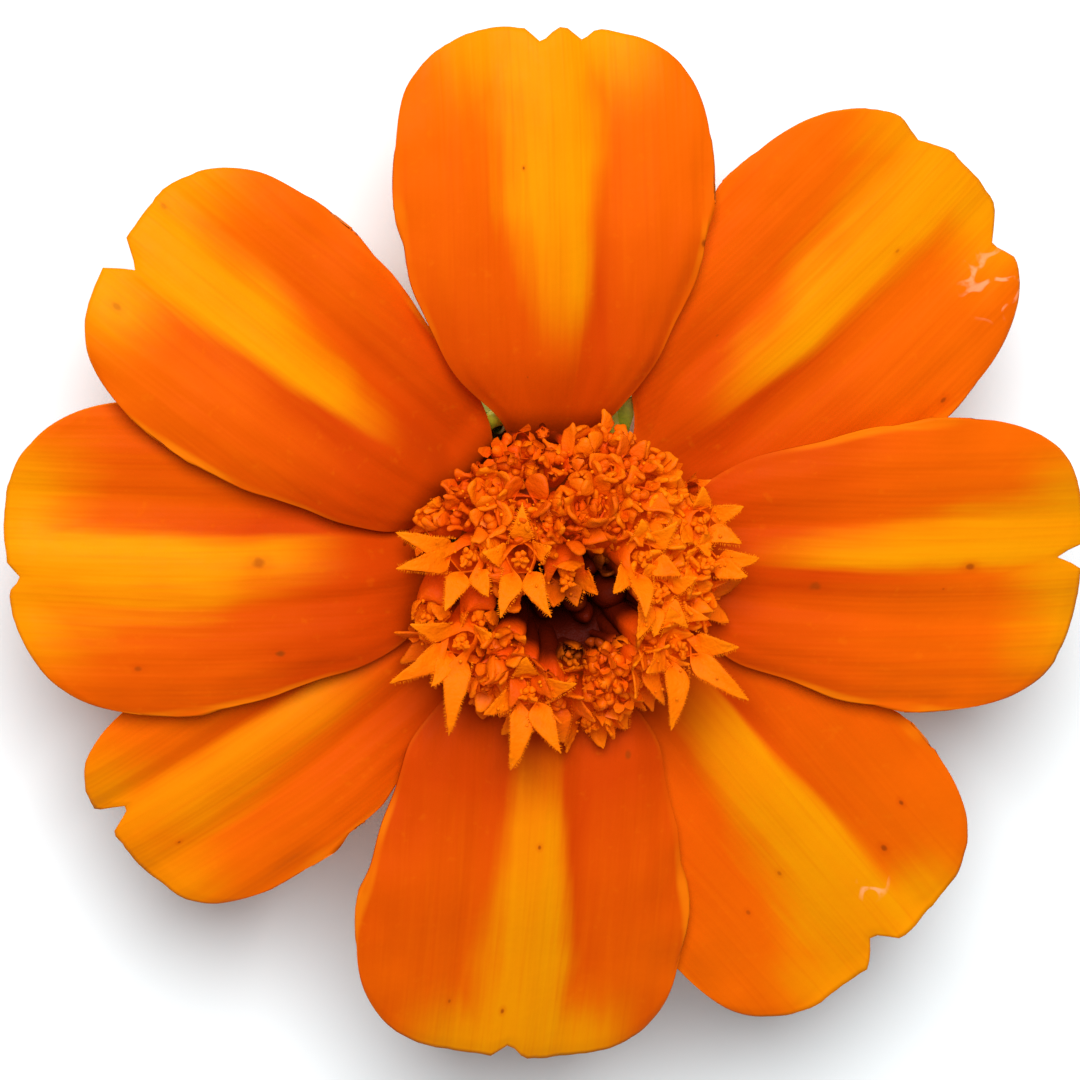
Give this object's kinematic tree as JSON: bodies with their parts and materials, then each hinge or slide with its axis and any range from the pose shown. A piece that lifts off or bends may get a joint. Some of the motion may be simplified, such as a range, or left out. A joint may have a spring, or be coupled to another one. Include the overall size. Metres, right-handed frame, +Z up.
{
  "type": "marigold flower head",
  "caption": "Single French marigold head: broad orange ray petals with gold middles round a raised, crumbly head of tubular florets, in a green ribbed cup on a short cut stalk.",
  "frame": {"origin": "centre of the flat cut under the cup's stalk stub, which the head stands on", "axes": "+Z up the head's own axis through the florets, +Y towards the petal that is uppermost in the reference view, +X to that view's right"},
  "size_m": [0.0512, 0.0499, 0.0228],
  "materials": {
    "green_cup": "satin",
    "ray_petal": "satin",
    "disc_floret": "matte"
  },
  "bodies": {
    "root": {"cup_and_stalk": "green_cup", "petal_1": "ray_petal", "petal_2": "ray_petal", "petal_3": "ray_petal", "petal_4": "ray_petal", "petal_5": "ray_petal", "petal_6": "ray_petal", "petal_7": "ray_petal", "petal_8": "ray_petal", "disc_florets": "disc_floret"}
  },
  "joints": []
}
